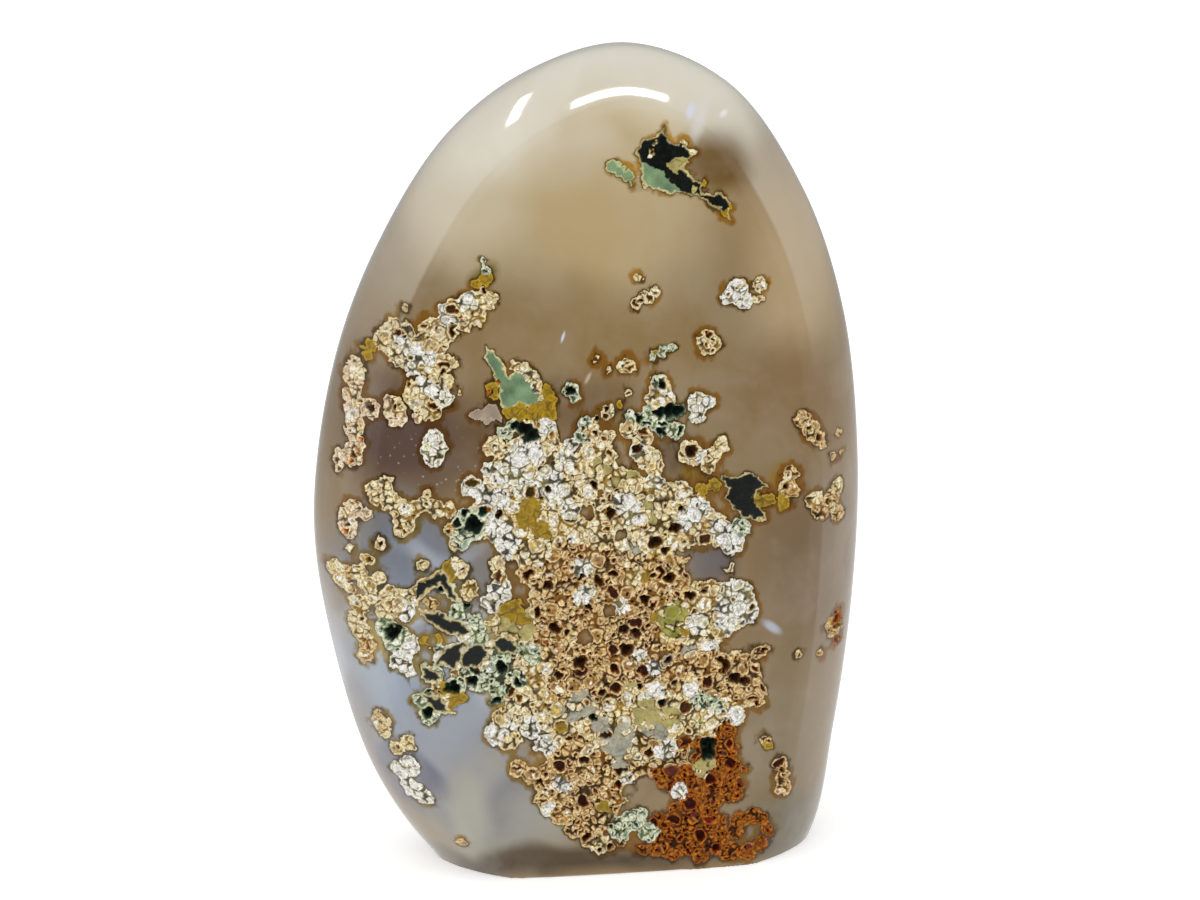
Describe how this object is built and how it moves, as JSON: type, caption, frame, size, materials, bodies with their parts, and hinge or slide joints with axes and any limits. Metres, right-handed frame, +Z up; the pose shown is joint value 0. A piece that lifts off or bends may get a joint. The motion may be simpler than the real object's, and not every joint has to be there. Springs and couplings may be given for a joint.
{
  "type": "druzy agate freeform",
  "caption": "Polished upright agate freeform with a flat sawn base and hollows in its face lined with druzy crusts.",
  "frame": {"origin": "centre of the flat base, at the middle of the stone's width and thickness", "axes": "+Z up through the top of the stone, -Y out of the show face, +X to the right seen from the front"},
  "size_m": [0.0679, 0.0338, 0.1002],
  "materials": {
    "polished_agate": "polished translucent agate, grey-brown to lavender, softly zoned",
    "tan_druzy": "rough tan druzy crust of fine crystals and globules",
    "cream_druzy": "rough cream-white druzy crust of fine crystals and globules",
    "green_druzy": "celadon-green crust polished flush with the stone",
    "dark_druzy": "dark green-black crust polished flush with the stone",
    "rust_druzy": "rust-brown druzy crust"
  },
  "bodies": {
    "root": {"agate_stone": "polished_agate", "druzy_crust_main": "tan_druzy", "druzy_crust_upper_left": "cream_druzy", "druzy_crust_left_column": "tan_druzy", "druzy_crust_left_ring": "cream_druzy", "druzy_crust_left_pair": "tan_druzy", "druzy_crust_left_low": "cream_druzy", "druzy_crust_low_left": "cream_druzy", "druzy_crust_green_tip": "green_druzy", "druzy_crust_dark_top": "dark_druzy", "druzy_crust_upper_right": "cream_druzy", "druzy_crust_upper_disc": "cream_druzy", "druzy_crust_centre_top": "cream_druzy", "druzy_crust_right_high": "tan_druzy", "druzy_crust_right_mid": "tan_druzy", "druzy_crust_right_edge": "tan_druzy", "druzy_crust_right_rim": "rust_druzy", "druzy_crust_low_right": "tan_druzy", "druzy_crust_back_low": "tan_druzy", "druzy_crust_back_high": "cream_druzy"}
  },
  "joints": []
}
